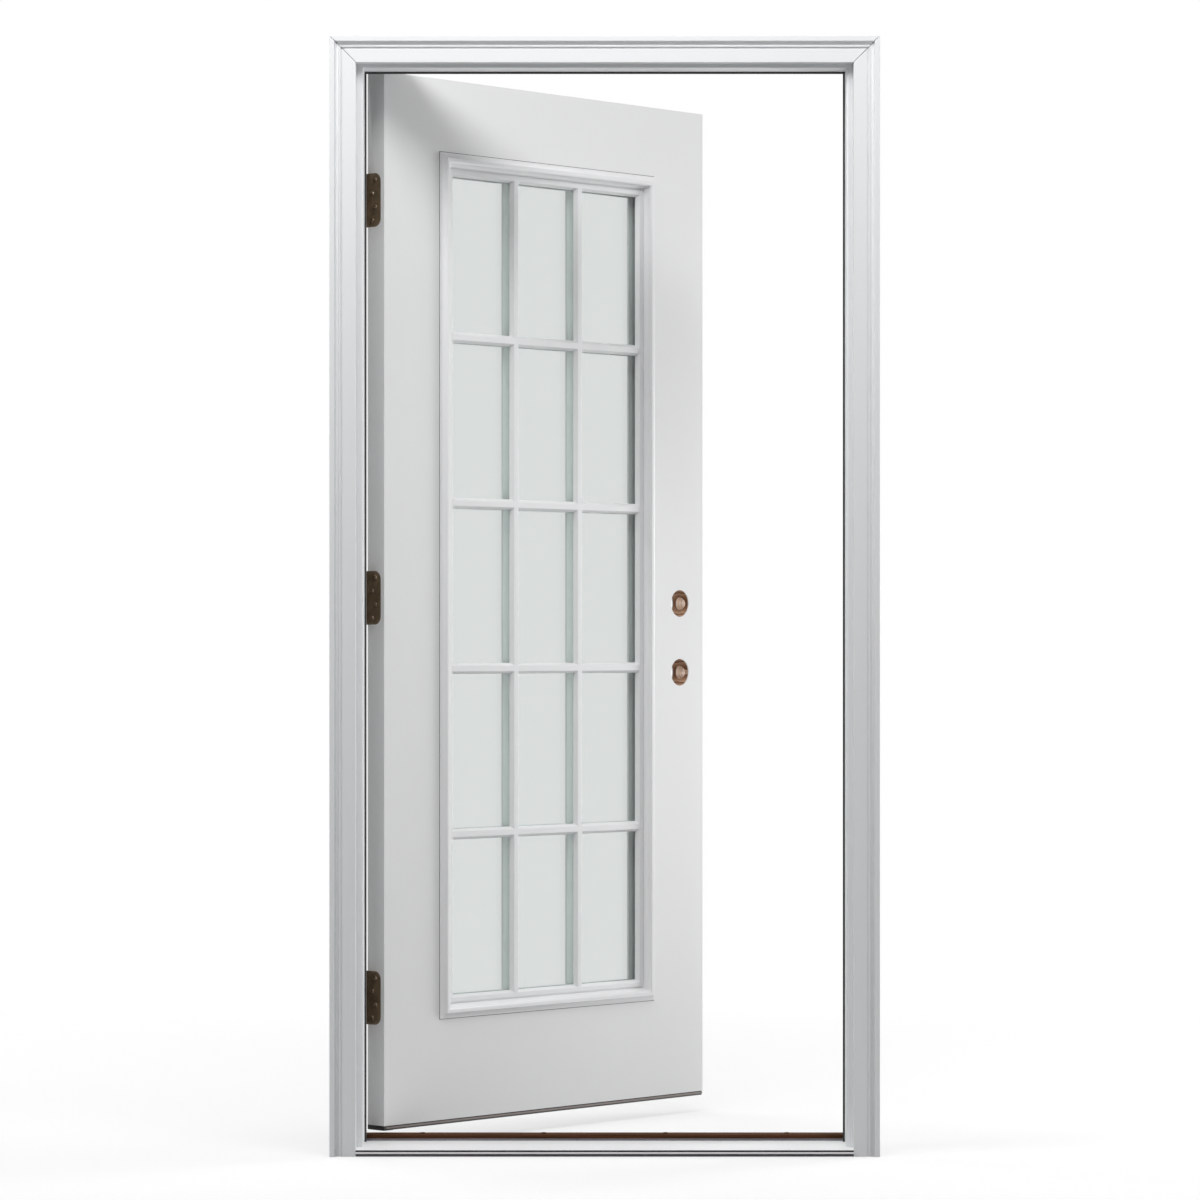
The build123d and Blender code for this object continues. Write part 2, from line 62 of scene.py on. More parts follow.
hinge_edge = span("stile_hinge", along)[0]
lock_edge = span("stile_lock", along)[1]
face_in = span("skin_interior", outward)[0]
casing_inner = span("casing_left", Vector((1, 0, 0)))[1]
casing_low = span("casing_head", up)[0]
mitre_offset = -casing_inner - casing_low


def on_leaf(across, out, height):
    """Point of the open leaf: across from its hinge edge, out from its interior face."""
    return along * (hinge_edge + across) + outward * (face_in + out) + up * height


SHADOW_LINE_WIDTH = 1.2 * MM      # width of the painted shadow line round the lite frame
PAINT_REACH = 0.6 * MM       # how far the edges' paint goes into a bore
BORE_SKIN = 0.3 * MM         # slack outside a bore's radius when its wall is toned
WIDE_BORE = 20 * MM          # a larger radius than this is a lock bore
SWEEP_KERF = 2.2 * MM        # from the leaf down to the sweep's band, and to its lower edge; above and below the band the sweep has painted shade
SWEEP_BAND = 5.7 * MM
GROOVE_LOW = 8.7 * MM        # the drip groove along the sill's nose, above the floor
GROOVE_HIGH = 12.1 * MM


# Materials
class Finish:
    """A material with its shader, and short ways to add and join nodes."""

    def __init__(self, name):
        self.material = bpy.data.materials.new(name)
        self.material.use_nodes = True
        self.tree = self.material.node_tree
        self.shader = self.tree.nodes["Principled BSDF"]
        self.output = self.tree.nodes["Material Output"]
        self.place = self.node("ShaderNodeTexCoord").outputs["Object"]

    def node(self, kind, **settings):
        made = self.tree.nodes.new(kind)
        for name, value in settings.items():
            setattr(made, name, value)
        return made

    def link(self, source, target):
        self.tree.links.new(source, target)

    def stretch(self, scale, turn=0.0):
        """The place scaled along each axis, after a turn about the upright."""
        turned = self.node("ShaderNodeMapping", vector_type="TEXTURE")
        turned.inputs["Rotation"].default_value = (0, 0, turn)
        self.link(self.place, turned.inputs["Vector"])
        scaled = self.node("ShaderNodeMapping")
        scaled.inputs["Scale"].default_value = scale
        self.link(turned.outputs["Vector"], scaled.inputs["Vector"])
        return scaled.outputs["Vector"]

    def noise(self, scale, detail=3.0, rough=0.5, vector=None):
        made = self.node("ShaderNodeTexNoise")
        made.inputs["Scale"].default_value = scale
        made.inputs["Detail"].default_value = detail
        made.inputs["Roughness"].default_value = rough
        self.link(vector or self.place, made.inputs["Vector"])
        return made.outputs["Fac"]

    def ramp(self, source, stops):
        """Colours or values along a source from 0 to 1, as pairs of place and colour."""
        made = self.node("ShaderNodeValToRGB")
        points = made.color_ramp.elements
        while len(points) < len(stops):
            points.new(1.0)
        for point, (place, colour) in zip(points, stops):
            point.position = place
            point.color = (*colour, 1.0)
        self.link(source, made.inputs["Fac"])
        return made.outputs["Color"]

    def spread(self, source, low, high):
        """A source from 0 to 1 brought to the range from low to high."""
        made = self.node("ShaderNodeMapRange")
        made.inputs["To Min"].default_value = low
        made.inputs["To Max"].default_value = high
        self.link(source, made.inputs["Value"])
        return made.outputs["Result"]

    def total(self, first, second, share):
        """First plus a share of second."""
        made = self.node("ShaderNodeMath", operation="MULTIPLY_ADD")
        made.inputs[1].default_value = share
        self.link(second, made.inputs[0])
        self.link(first, made.inputs[2])
        return made.outputs["Value"]

    def math(self, operation, first, second):
        """Two sources, or a source and a number, put together by an operation."""
        made = self.node("ShaderNodeMath", operation=operation)
        for given, socket in ((first, made.inputs[0]), (second, made.inputs[1])):
            if isinstance(given, float):
                socket.default_value = given
            else:
                self.link(given, socket)
        return made.outputs["Value"]

    def reach(self, direction):
        """How far a place lies along a direction."""
        made = self.node("ShaderNodeVectorMath", operation="DOT_PRODUCT")
        made.inputs[1].default_value = direction
        self.link(self.place, made.inputs[0])
        return made.outputs["Value"]

    def within(self, source, low, high):
        """1 where a source lies between two values, and 0 elsewhere."""
        made = self.node("ShaderNodeMath", operation="COMPARE")
        made.inputs[1].default_value = (low + high) / 2
        made.inputs[2].default_value = (high - low) / 2
        self.link(source, made.inputs[0])
        return made.outputs["Value"]

    def off_axis(self, point, axis):
        """How far a place lies from the line through a point along an axis."""
        offset = self.node("ShaderNodeVectorMath", operation="SUBTRACT")
        offset.inputs[1].default_value = point
        self.link(self.place, offset.inputs[0])
        aside = self.node("ShaderNodeVectorMath", operation="CROSS_PRODUCT")
        aside.inputs[1].default_value = axis
        self.link(offset.outputs["Vector"], aside.inputs[0])
        length = self.node("ShaderNodeVectorMath", operation="LENGTH")
        self.link(aside.outputs["Vector"], length.inputs[0])
        return length.outputs["Value"]

    def off_centre(self, source, low, high):
        """How far a source lies past the ends of a range; less than 0 inside it."""
        aside = self.math("ABSOLUTE", self.math("SUBTRACT", source, (low + high) / 2), 0.0)
        return self.math("SUBTRACT", aside, (high - low) / 2)

    def instead(self, share, usual, other):
        """The usual colour, with another one where the share is 1."""
        made = self.node("ShaderNodeMix", data_type="RGBA")
        self.link(share, made.inputs["Factor"])
        self.link(usual, made.inputs[6])
        if isinstance(other, tuple):
            made.inputs[7].default_value = (*other, 1.0)
        else:
            self.link(other, made.inputs[7])
        return made.outputs[2]

    def bump(self, height, distance, strength=1.0):
        made = self.node("ShaderNodeBump")
        made.inputs["Distance"].default_value = distance
        made.inputs["Strength"].default_value = strength
        self.link(height, made.inputs["Height"])
        self.link(made.outputs["Normal"], self.shader.inputs["Normal"])

    def set(self, **values):
        for name, value in values.items():
            self.shader.inputs[name.replace("_", " ")].default_value = value

    def feed(self, source, name):
        self.link(source, self.shader.inputs[name])


def lighter(colour, share):
    return tuple(min(1.0, part * (1 + share)) for part in colour)


def member_grain(finish):
    """Grain along each member of the frame: level in the head, upright in the legs."""
    upright = finish.noise(1.0, 3.0, 0.6, finish.stretch((260.0, 260.0, 0.7)))
    level = finish.noise(1.0, 3.0, 0.6, finish.stretch((0.7, 260.0, 260.0)))
    aside = finish.math("ABSOLUTE", finish.reach(Vector((1, 0, 0))), 0.0)
    above = finish.math("SUBTRACT", aside, finish.reach(up))
    in_leg = finish.math("GREATER_THAN", above, mitre_offset)
    choice = finish.node("ShaderNodeMix", data_type="FLOAT")
    finish.link(in_leg, choice.inputs["Factor"])
    finish.link(level, choice.inputs["A"])
    finish.link(upright, choice.inputs["B"])
    return choice.outputs["Result"]


def paint(name, colour, roughness, grain=None, share=1.0, marks=None):
    """White factory paint: faintly clouded, with orange peel over any grain that the tree shows."""
    finish = Finish(name)
    clouds = finish.noise(1.7, 4.0)
    lines = grain(finish) if grain else clouds
    tone = finish.total(clouds, lines, share)
    low, high = 0.3 * (1 + share), 0.7 * (1 + share)
    colours = [(min(low, 1.0), lighter(colour, -0.022)), (min(high, 1.0), colour)]
    coat = finish.ramp(tone, colours)
    finish.feed(marks(finish, coat) if marks else coat, "Base Color")
    peel = finish.noise(900.0, 2.0, 0.4)
    finish.bump(finish.total(peel, lines, 0.4 * share), 0.00003)
    finish.feed(finish.spread(finish.noise(35.0, 3.0), roughness - 0.05, roughness + 0.06), "Roughness")
    finish.set(IOR=1.48)
    return finish.material


def edge_grain(finish):
    return finish.noise(1.0, 4.0, 0.6, finish.stretch((320.0, 320.0, 1.5), opening))


def painted_shadow_line(finish, coat):
    """A thin near-black line painted on the skin round the moulded frame: a painted shadow where the frame meets
    the skin.
    """
    lite_low, lite_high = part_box("lite_frame_exterior")
    aside = finish.off_centre(finish.reach(along), *span("lite_frame_exterior", along))
    above = finish.off_centre(finish.reach(up), lite_low.z, lite_high.z)
    line = finish.within(finish.math("MAXIMUM", aside, above), 0.0, SHADOW_LINE_WIDTH)
    # painted shadow: the line round the frame is near-black
    return finish.instead(line, coat, (0.07, 0.07, 0.072))


def bare_inside(finish, coat):
    """Paint on the leaf's edges only; the stiles are bare wood inside their bores and mortises."""
    inside = finish.within(finish.reach(along), hinge_edge + PAINT_REACH, lock_edge - PAINT_REACH)
    return finish.instead(inside, coat, wood(finish, opening)[0])


def moulded_plastic():
    """Lite frame and bars: smooth white plastic with a fine pebble from the tool."""
    finish = Finish("lite_moulding_white")
    white = (0.84, 0.845, 0.85)
    clouds = finish.noise(3.0, 3.0)
    finish.feed(finish.ramp(clouds, [(0.3, lighter(white, -0.012)), (0.7, white)]), "Base Color")
    finish.bump(finish.noise(1500.0, 2.0, 0.5), 0.00003)
    finish.feed(finish.spread(finish.noise(60.0), 0.3, 0.38), "Roughness")
    finish.set(IOR=1.49)
    return finish.material


def wood(finish, turn, lying=False):
    """Upright or lying grain: broad early wood, thin dark late wood, pores. Colour, ring, pores."""
    def run(across, lengthwise):
        sizes = (lengthwise, across, across) if lying else (across, across, lengthwise)
        return finish.stretch(sizes, turn)

    bend = finish.noise(1.0, 2.0, 0.5, run(9.0, 1.2))
    rings = finish.node("ShaderNodeTexWave", bands_direction="Y" if lying else "X", wave_profile="SAW")
    rings.inputs["Scale"].default_value = 34.0
    rings.inputs["Distortion"].default_value = 3.5
    rings.inputs["Detail"].default_value = 3.0
    rings.inputs["Detail Scale"].default_value = 1.4
    finish.link(run(1.0, 0.06), rings.inputs["Vector"])
    pores = finish.noise(1.0, 5.0, 0.7, run(700.0, 14.0))
    ring = finish.total(finish.spread(rings.outputs["Fac"], 0.0, 0.75), bend, 0.3)
    colours = [
        (0.05, (0.74, 0.55, 0.40)),
        (0.55, (0.58, 0.34, 0.20)),
        (0.85, (0.34, 0.155, 0.08)),
        (0.98, (0.19, 0.076, 0.038)),
    ]
    return bored(finish, ring, finish.ramp(finish.total(ring, pores, 0.12), colours)), ring, pores


def bored(finish, ring, usual):
    """The small edge bores are clean and pale; the lock bores are painted near-black as shade deep inside them."""
    bores = [mount for mount in frame["record"]["mounts"] if mount["kind"] == "bore"]
    bores.sort(key=lambda mount: mount["dims"]["r_mm"])
    for mount in bores:
        radius = mount["dims"]["r_mm"] * MM
        wall = finish.within(finish.off_axis(mount["pos_m"], mount["axis"]), 0.0, radius + BORE_SKIN)
        if radius < WIDE_BORE:
            colour, share = (0.97, 0.86, 0.75), finish.spread(ring, 0.95, 0.45)
        else:
            # painted shade: the wide lock bores are near-black inside
            colour, share = (0.075, 0.026, 0.009), finish.spread(ring, 0.0, 0.6)
        usual = finish.instead(finish.math("MULTIPLY", wall, share), usual, colour)
    return usual


def softwood(name, lying=False):
    """Bare softwood, as sawn."""
    finish = Finish(name)
    colour, ring, pores = wood(finish, opening, lying)
    finish.feed(colour, "Base Color")
    finish.bump(finish.total(pores, ring, 0.5), 0.0002)
    finish.feed(finish.spread(pores, 0.55, 0.8), "Roughness")
    return finish.material


def oil_rubbed_bronze():
    """Hinges: dark brown bronze, warmer in clouds, with a fine rolled texture."""
    finish = Finish("hinge_oil_rubbed_bronze")
    clouds = finish.noise(55.0, 5.0, 0.65)
    colours = [(0.3, (0.135, 0.102, 0.067)), (0.55, (0.205, 0.152, 0.096)), (0.8, (0.290, 0.200, 0.122))]
    finish.feed(finish.ramp(clouds, colours), "Base Color")
    finish.set(Metallic=0.3, Coat_Weight=0.1, Coat_Roughness=0.35)
    finish.feed(finish.spread(finish.noise(240.0, 4.0, 0.6), 0.32, 0.55), "Roughness")
    finish.bump(finish.noise(1400.0, 3.0, 0.6), 0.00006)
    return finish.material


def worn_bronze():
    """Screw heads: the same bronze with its dark skin rubbed through by the driver."""
    finish = Finish("screw_rubbed_bronze")
    rub = finish.noise(420.0, 3.0, 0.6)
    colours = [(0.35, (0.10, 0.07, 0.045)), (0.5, (0.42, 0.32, 0.23)), (0.7, (0.80, 0.70, 0.60))]
    finish.feed(finish.ramp(rub, colours), "Base Color")
    finish.feed(finish.spread(rub, 0.22, 0.42), "Roughness")
    finish.set(Metallic=0.85)
    return finish.material


def black_seal():
    """Foam seal with a smooth black skin, a little dusty."""
    finish = Finish("seal_black_skin")
    colours = [(0.35, (0.010, 0.010, 0.011)), (0.75, (0.022, 0.021, 0.021))]
    finish.feed(finish.ramp(finish.noise(90.0, 4.0, 0.6), colours), "Base Color")
    finish.feed(finish.spread(finish.noise(300.0), 0.5, 0.7), "Roughness")
    finish.bump(finish.noise(2200.0, 3.0, 0.6), 0.00008)
    return finish.material


def sweep_vinyl():
    """Sweep with drawing lines along the leaf: a grey brown band, with painted shade above and below it,
    near-black for the kerf's shadow under the leaf and for the shaded fins.
    """
    finish = Finish("sweep_grey_vinyl")
    streaks = finish.noise(1.0, 3.0, 0.6, finish.stretch((3.0, 500.0, 700.0), opening))
    colours = [(0.3, (0.20, 0.165, 0.15)), (0.7, (0.27, 0.235, 0.215))]
    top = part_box("bottom_sweep")[1].z
    band = finish.within(finish.reach(up), top - SWEEP_BAND, top - SWEEP_KERF)
    # painted shade: near-black above the band for the kerf's shadow, and below it for the shaded fins
    soft = finish.ramp(streaks, [(0.3, (0.022, 0.019, 0.018)), (0.7, (0.04, 0.035, 0.033))])
    finish.feed(finish.instead(band, soft, finish.ramp(streaks, colours)), "Base Color")
    finish.bump(streaks, 0.00008)
    finish.feed(finish.spread(streaks, 0.42, 0.58), "Roughness")
    return finish.material


def groove_shade(finish, metal):
    """The drip groove along the sill's nose is painted near-black: painted shade in the groove."""
    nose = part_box("sill_deck")[0].y
    height = finish.within(finish.reach(up), GROOVE_LOW, GROOVE_HIGH)
    depth = finish.math("GREATER_THAN", finish.reach(Vector((0, 1, 0))), nose + 0.5 * MM)
    # painted shade: near-black inside the groove
    return finish.instead(finish.math("MULTIPLY", height, depth), metal, (0.035, 0.03, 0.032))


def satin_metal(name, colour, metallic, index, turn=0.0, marks=None):
    """Satin aluminium with rolling lines along its length."""
    finish = Finish(name)
    lines = finish.noise(1.0, 4.0, 0.65, finish.stretch((4.0, 900.0, 900.0), turn))
    metal = finish.ramp(lines, [(0.3, lighter(colour, -0.05)), (0.7, colour)])
    finish.feed(marks(finish, metal) if marks else metal, "Base Color")
    finish.bump(lines, 0.00003)
    finish.feed(finish.spread(lines, 0.3, 0.45), "Roughness")
    finish.set(Metallic=metallic, IOR=index)
    return finish.material


def composite(name, dark, light, roughness, index):
    """Moulded composite with a fine speckle and faint flow lines along X."""
    finish = Finish(name)
    flow = finish.noise(1.0, 4.0, 0.6, finish.stretch((6.0, 260.0, 260.0)))
    speckle = finish.noise(800.0, 3.0, 0.7)
    finish.feed(finish.ramp(finish.total(flow, speckle, 0.3), [(0.4, dark), (0.85, light)]), "Base Color")
    finish.bump(finish.total(speckle, flow, 0.6), 0.0001)
    finish.feed(finish.spread(speckle, roughness - 0.08, roughness + 0.08), "Roughness")
    finish.set(IOR=index)
    return finish.material


def clear_glass():
    """Coated float glass: a little grey and green, and flat but for a trace of roller wave."""
    finish = Finish("glass_clear_float")
    finish.set(Base_Color=(0.823, 0.84, 0.835, 1.0), IOR=1.5, Transmission_Weight=1.0)
    haze = finish.noise(2.5, 2.0)
    finish.feed(finish.spread(haze, 0.0, 0.004), "Roughness")
    finish.bump(haze, 0.00004)
    path = finish.node("ShaderNodeLightPath")
    clear = finish.node("ShaderNodeBsdfTransparent")
    clear.inputs["Color"].default_value = (0.91, 0.95, 0.935, 1.0)
    mix = finish.node("ShaderNodeMixShader")
    finish.link(path.outputs["Is Shadow Ray"], mix.inputs["Fac"])
    finish.link(finish.shader.outputs["BSDF"], mix.inputs[1])
    finish.link(clear.outputs["BSDF"], mix.inputs[2])
    finish.link(mix.outputs["Shader"], finish.output.inputs["Surface"])
    return finish.material


def filling_foam():
    """Cut foam of the leaf's filling, pale yellow and porous."""
    finish = Finish("filling_pale_foam")
    cells = finish.noise(700.0, 4.0, 0.7)
    finish.feed(finish.ramp(cells, [(0.3, (0.62, 0.55, 0.36)), (0.7, (0.78, 0.72, 0.52))]), "Base Color")
    finish.bump(cells, 0.0004)
    finish.set(Roughness=0.9)
    return finish.material


FINISHES = {
    "frame_paint": paint("frame_white_paint", (0.82, 0.83, 0.845), 0.42, member_grain),
    "casing_paint": paint("casing_white_paint", (0.83, 0.84, 0.85), 0.4, member_grain),
    "leaf_paint": paint("leaf_smooth_white", (0.82, 0.825, 0.825), 0.38, marks=painted_shadow_line),
    "edge_paint": paint("leaf_edge_white", (0.79, 0.795, 0.79), 0.5, edge_grain, 1.6, bare_inside),
    "lite_moulding": moulded_plastic(),
    "timber": softwood("bare_softwood"),
    "foam": filling_foam(),
    "hinge_bronze": oil_rubbed_bronze(),
    "seal": black_seal(),
    "sweep_vinyl": sweep_vinyl(),
    "sill_metal": satin_metal("deck_satin_metal", (0.97, 0.97, 0.975), 0.02, 1.55, marks=groove_shade),
    "spacer_metal": satin_metal("spacer_satin_metal", (0.7, 0.71, 0.72), 0.3, 1.3, opening),
    "sill_composite": composite("sill_grey_composite", (0.145, 0.14, 0.155), (0.235, 0.222, 0.25), 0.6, 1.3),
    "cap_composite": composite("cap_brown_composite", (0.04, 0.018, 0.008), (0.105, 0.046, 0.023), 0.8, 1.15),
    "clear_glass": clear_glass(),
}

for row in frame["record"]["subparts"]:
    piece = nodes[row["node"]]
    piece.data.materials.clear()
    piece.data.materials.append(FINISHES[row["material_slot"]])

lying_wood = softwood("bare_softwood_lying", lying=True)
for rail in ("rail_top", "rail_bottom"):
    nodes[rail].data.materials[0] = lying_wood


def ease(names, width):
    """Takes the sharp edges off the named pieces by a small flat."""
    for name in names:
        weld = nodes[name].modifiers.new("weld", "WELD")
        weld.merge_threshold = 0.01 * MM
        edges = nodes[name].modifiers.new("eased_edges", "BEVEL")
        edges.width = width
        edges.segments = 2
        edges.limit_method = "ANGLE"
        edges.angle_limit = math.radians(32)
        edges.harden_normals = True


ease(["casing_left", "casing_right", "casing_head", "hinge_jamb", "strike_jamb", "head_jamb"], 0.6 * MM)
ease(["lite_frame_exterior", "lite_frame_interior", "grille_exterior", "grille_interior"], 0.5 * MM)
ease(["stile_hinge", "stile_lock", "sill_cap", "sill_deck"], 0.4 * MM)


# Screw heads
def head_tree():
    """Round heads on points: a tapered disc, cross cut where asked, spun by a fixed seed."""
    tree = bpy.data.node_groups.new("round_heads", "GeometryNodeTree")
    faces = tree.interface
    faces.new_socket("Points", in_out="INPUT", socket_type="NodeSocketGeometry")
    for name, value in (("Head radius", 4.0 * MM), ("Head height", 2.0 * MM), ("Cross width", 1.1 * MM)):
        faces.new_socket(name, in_out="INPUT", socket_type="NodeSocketFloat").default_value = value
    faces.new_socket("Cross cut", in_out="INPUT", socket_type="NodeSocketBool").default_value = True
    faces.new_socket("Finish", in_out="INPUT", socket_type="NodeSocketMaterial")
    faces.new_socket("Heads", in_out="OUTPUT", socket_type="NodeSocketGeometry")

    def node(kind, **settings):
        made = tree.nodes.new(kind)
        for name, value in settings.items():
            setattr(made, name, value)
        return made

    def times(source, factor):
        made = node("ShaderNodeMath", operation="MULTIPLY")
        made.inputs[1].default_value = factor
        tree.links.new(source, made.inputs[0])
        return made.outputs[0]

    given = node("NodeGroupInput").outputs
    disc = node("GeometryNodeMeshCone", fill_type="NGON")
    disc.inputs["Vertices"].default_value = 28
    tree.links.new(times(given["Head radius"], 0.86), disc.inputs["Radius Top"])
    tree.links.new(given["Head radius"], disc.inputs["Radius Bottom"])
    tree.links.new(given["Head height"], disc.inputs["Depth"])

    cut = node("GeometryNodeMeshBoolean", operation="DIFFERENCE")
    tree.links.new(disc.outputs["Mesh"], cut.inputs["Mesh 1"])
    for sides in (("X", "Y"), ("Y", "X")):
        size = node("ShaderNodeCombineXYZ")
        tree.links.new(times(given["Head radius"], 1.15), size.inputs[sides[0]])
        tree.links.new(given["Cross width"], size.inputs[sides[1]])
        tree.links.new(given["Head height"], size.inputs["Z"])
        slot = node("GeometryNodeMeshCube")
        tree.links.new(size.outputs[0], slot.inputs["Size"])
        lifted = node("GeometryNodeTransform")
        rise = node("ShaderNodeCombineXYZ")
        tree.links.new(times(given["Head height"], 1.05), rise.inputs["Z"])
        tree.links.new(slot.outputs["Mesh"], lifted.inputs["Geometry"])
        tree.links.new(rise.outputs[0], lifted.inputs["Translation"])
        tree.links.new(lifted.outputs[0], cut.inputs["Mesh 2"])
    head = node("GeometryNodeSwitch", input_type="GEOMETRY")
    tree.links.new(given["Cross cut"], head.inputs["Switch"])
    tree.links.new(disc.outputs["Mesh"], head.inputs["False"])
    tree.links.new(cut.outputs["Mesh"], head.inputs["True"])

    facing = node("GeometryNodeInputNamedAttribute", data_type="FLOAT_VECTOR")
    facing.inputs["Name"].default_value = "facing"
    turned = node("FunctionNodeAlignRotationToVector", axis="Z")
    tree.links.new(facing.outputs["Attribute"], turned.inputs["Vector"])
    chance = node("FunctionNodeRandomValue", data_type="FLOAT")
    chance.inputs["Max"].default_value = math.pi / 2
    chance.inputs["Seed"].default_value = 7
    spin = node("FunctionNodeAxisAngleToRotation")
    tree.links.new(chance.outputs["Value"], spin.inputs["Angle"])
    both = node("FunctionNodeRotateRotation", rotation_space="LOCAL")
    tree.links.new(turned.outputs["Rotation"], both.inputs["Rotation"])
    tree.links.new(spin.outputs["Rotation"], both.inputs["Rotate By"])

    placed = node("GeometryNodeInstanceOnPoints")
    tree.links.new(given["Points"], placed.inputs["Points"])
    tree.links.new(head.outputs[0], placed.inputs["Instance"])
    tree.links.new(both.outputs["Rotation"], placed.inputs["Rotation"])
    real = node("GeometryNodeRealizeInstances")
    tree.links.new(placed.outputs["Instances"], real.inputs["Geometry"])
    dressed = node("GeometryNodeSetMaterial")
    tree.links.new(real.outputs["Geometry"], dressed.inputs["Geometry"])
    tree.links.new(given["Finish"], dressed.inputs["Material"])
    tree.links.new(dressed.outputs["Geometry"], node("NodeGroupOutput").inputs["Heads"])
    return tree


round_heads = head_tree()
sockets = {item.name: item.identifier for item in round_heads.interface.items_tree if item.in_out == "INPUT"}


def heads(name, body, slot, finish, places, **sizes):
    """One mesh of round heads at pairs of place and facing, riding on a body."""
    points = bpy.data.meshes.new(name + "_points")
    points.from_pydata([place for place, _ in places], [], [])
    facing = points.attributes.new("facing", "FLOAT_VECTOR", "POINT")
    facing.data.foreach_set("vector", [part for _, way in places for part in way])
    carrier = bpy.data.objects.new(name + "_carrier", points)
    scene.collection.objects.link(carrier)
    modifier = carrier.modifiers.new("heads", "NODES")
    modifier.node_group = round_heads
    modifier[sockets["Finish"]] = finish
    for size, value in sizes.items():
        modifier[sockets[size.replace("_", " ")]] = value
    bpy.context.view_layer.update()
    solved = carrier.evaluated_get(bpy.context.evaluated_depsgraph_get())
    mesh = bpy.data.meshes.new_from_object(solved)
    bpy.data.objects.remove(carrier)
    mesh.name = name
    made = bpy.data.objects.new(name, mesh)
    scene.collection.objects.link(made)
    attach(made, body)
    return made


SCREW_PITCH = 25.4 * MM
SCREW_NEAR = 12.0 * MM       # from the interior face to the inner row of screws
SCREW_FAR = 20.5 * MM
SCREW_RADIUS = 4.3 * MM
HINGE_PLACES = ("top", "middle", "bottom")


def zigzag(node):
    """Depth from the interior face, and height, of a hinge leaf's four screws from the top."""
    low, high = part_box(node)
    middle = (low.z + high.z) / 2
    return [
        (SCREW_FAR if step % 2 == 0 else SCREW_NEAR, middle + (1.5 - step) * SCREW_PITCH)
        for step in range(4)
    ]


frame_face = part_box("hinge_jamb")[1].y
rabbet_x = -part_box("weatherstrip_head")[1].x
frame_screws = []
door_screws = []
for place in HINGE_PLACES:
    for depth, height in zigzag(f"frame_hinge_{place}"):
        frame_screws.append((Vector((rabbet_x, frame_face - depth, height)), Vector((1, 0, 0))))
    for depth, height in zigzag(f"door_hinge_{place}"):
        door_screws.append((on_leaf(0, depth, height), -along))
screw_bronze = worn_bronze()
heads("frame_hinge_screws", "frame", "hinge_bronze", screw_bronze, frame_screws, Head_radius=SCREW_RADIUS)
heads("door_hinge_screws", "door", "hinge_bronze", screw_bronze, door_screws, Head_radius=SCREW_RADIUS)

# The sill cap's height is set by four screws that show on its top.
cap_low, cap_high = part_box("sill_cap")
CAP_SCREWS = (-344 * MM, -115 * MM, 115 * MM, 344 * MM)
CAP_SCREW_RADIUS = 5.0 * MM
cap_middle = (cap_low.y + cap_high.y) / 2
cap_places = [(Vector((x, cap_middle, cap_high.z)), up) for x in CAP_SCREWS]
cap_finish = FINISHES["cap_composite"]
heads("cap_adjusting_screws", "frame", "cap_composite", cap_finish, cap_places,
      Head_radius=CAP_SCREW_RADIUS)


# Camera, at the photograph's viewpoint: eye height and distance in front of the casing.
FRAME_PIXELS = 1200
FOCAL_PIXELS = 4405.5
PRINCIPAL_X = 604.7
PRINCIPAL_Y = 647.4
EYE = Vector((0.0, -8.232, 0.9485))
SENSOR = 36.0

lens = bpy.data.cameras.new("camera")
lens.sensor_width = SENSOR
lens.lens = FOCAL_PIXELS / FRAME_PIXELS * SENSOR
lens.shift_x = 0.5 - PRINCIPAL_X / FRAME_PIXELS
lens.shift_y = PRINCIPAL_Y / FRAME_PIXELS - 0.5
lens.clip_end = 200.0
camera = bpy.data.objects.new("camera", lens)
camera.location = EYE
camera.rotation_euler = (math.pi / 2, 0, 0)
scene.collection.objects.link(camera)
scene.camera = camera


# Stage and light
def lamp(name, place, target, size, power, mirrored=True):
    """A rectangular lamp; one that isn't mirrored leaves no bright patch in the glass."""
    light = bpy.data.lights.new(name, "AREA")
    light.shape = "RECTANGLE"
    light.size, light.size_y = size
    light.energy = power
    made = bpy.data.objects.new(name, light)
    made.location = place
    made.visible_glossy = mirrored
    made.visible_transmission = mirrored
    made.rotation_euler = (Vector(target) - Vector(place)).to_track_quat("-Z", "Y").to_euler()
    scene.collection.objects.link(made)


lamp("overhead", (-0.35, -1.45, 3.5), (0, 0, 1.3), (4.2, 1.0), 79)
lamp("room_side", (3.2, 2.2, 0.9), (-0.15, 0.45, 1.0), (1.4, 1.8), 88)
lamp("behind", (-2.6, 2.6, 2.2), (-0.15, 0.45, 1.0), (1.6, 1.6), 40, mirrored=False)

FLOOR_REACH = 60.0
floor_mesh = bpy.data.meshes.new("floor")
shape = bmesh.new()
bmesh.ops.create_grid(shape, x_segments=1, y_segments=1, size=FLOOR_REACH)
shape.to_mesh(floor_mesh)
shape.free()
floor = bpy.data.objects.new("floor", floor_mesh)
floor.location = (0, 0, -0.5 * MM)
scene.collection.objects.link(floor)


def seen_ray(tree):
    """1 for a ray that the eye follows: straight, mirrored or through glass."""
    path = tree.nodes.new("ShaderNodeLightPath")
    seen = path.outputs["Is Camera Ray"]
    for kind in ("Is Glossy Ray", "Is Transmission Ray"):
        added = tree.nodes.new("ShaderNodeMath")
        added.operation = "ADD"
        added.use_clamp = True
        tree.links.new(seen, added.inputs[0])
        tree.links.new(path.outputs[kind], added.inputs[1])
        seen = added.outputs[0]
    return seen


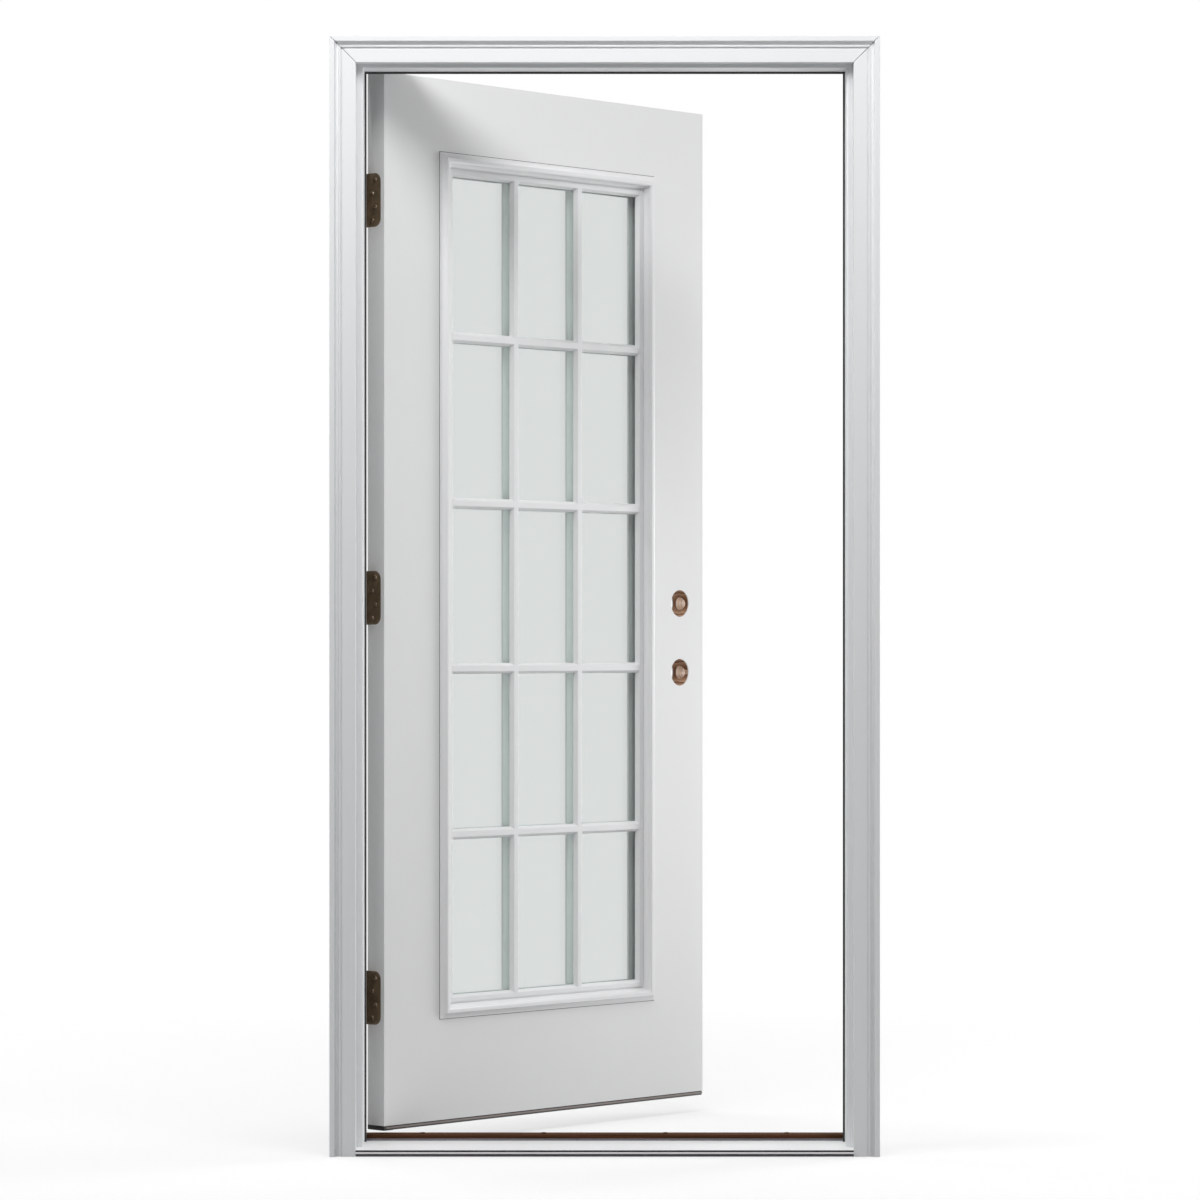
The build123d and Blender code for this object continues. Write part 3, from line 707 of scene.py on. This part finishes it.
def floor_finish():
    """Pale floor that keeps the shadow near the door and runs out into the white backdrop."""
    finish = Finish("floor_pale")
    finish.set(Base_Color=(0.46, 0.46, 0.46, 1.0), Roughness=0.9)
    away = finish.node("ShaderNodeVectorMath", operation="LENGTH")
    finish.link(finish.place, away.inputs[0])
    fade = finish.node("ShaderNodeMapRange", interpolation_type="SMOOTHSTEP")
    fade.inputs["From Min"].default_value = 0.9
    fade.inputs["From Max"].default_value = 3.5
    finish.link(away.outputs["Value"], fade.inputs["Value"])
    seen = seen_ray(finish.tree)
    shown = finish.math("MULTIPLY", fade.outputs["Result"], seen)
    near = finish.node("ShaderNodeEmission")
    finish.link(finish.spread(seen, 0.0, 0.5), near.inputs["Strength"])
    lifted = finish.node("ShaderNodeAddShader")
    finish.link(finish.shader.outputs["BSDF"], lifted.inputs[0])
    finish.link(near.outputs["Emission"], lifted.inputs[1])
    white = finish.node("ShaderNodeEmission")
    mix = finish.node("ShaderNodeMixShader")
    finish.link(shown, mix.inputs["Fac"])
    finish.link(lifted.outputs["Shader"], mix.inputs[1])
    finish.link(white.outputs["Emission"], mix.inputs[2])
    finish.link(mix.outputs["Shader"], finish.output.inputs["Surface"])
    return finish.material


floor_mesh.materials.append(floor_finish())


def sky():
    """White to the eye; as a light, a soft dome that is brighter above than below."""
    world = bpy.data.worlds.new("studio")
    world.use_nodes = True
    tree = world.node_tree
    shown = tree.nodes["Background"]
    shown.inputs["Color"].default_value = (1, 1, 1, 1)
    lit = tree.nodes.new("ShaderNodeBackground")
    place = tree.nodes.new("ShaderNodeTexCoord")
    parts = tree.nodes.new("ShaderNodeSeparateXYZ")
    tree.links.new(place.outputs["Generated"], parts.inputs[0])
    level = tree.nodes.new("ShaderNodeMapRange")
    level.inputs["From Min"].default_value = -0.1
    level.inputs["From Max"].default_value = 1.0
    level.inputs["To Min"].default_value = 0.12
    level.inputs["To Max"].default_value = 0.56
    tree.links.new(parts.outputs["Z"], level.inputs["Value"])
    tree.links.new(level.outputs["Result"], lit.inputs["Strength"])
    mix = tree.nodes.new("ShaderNodeMixShader")
    tree.links.new(seen_ray(tree), mix.inputs["Fac"])
    tree.links.new(lit.outputs[0], mix.inputs[1])
    tree.links.new(shown.outputs[0], mix.inputs[2])
    tree.links.new(mix.outputs[0], tree.nodes["World Output"].inputs["Surface"])
    scene.world = world


sky()
scene.view_settings.view_transform = "Standard"
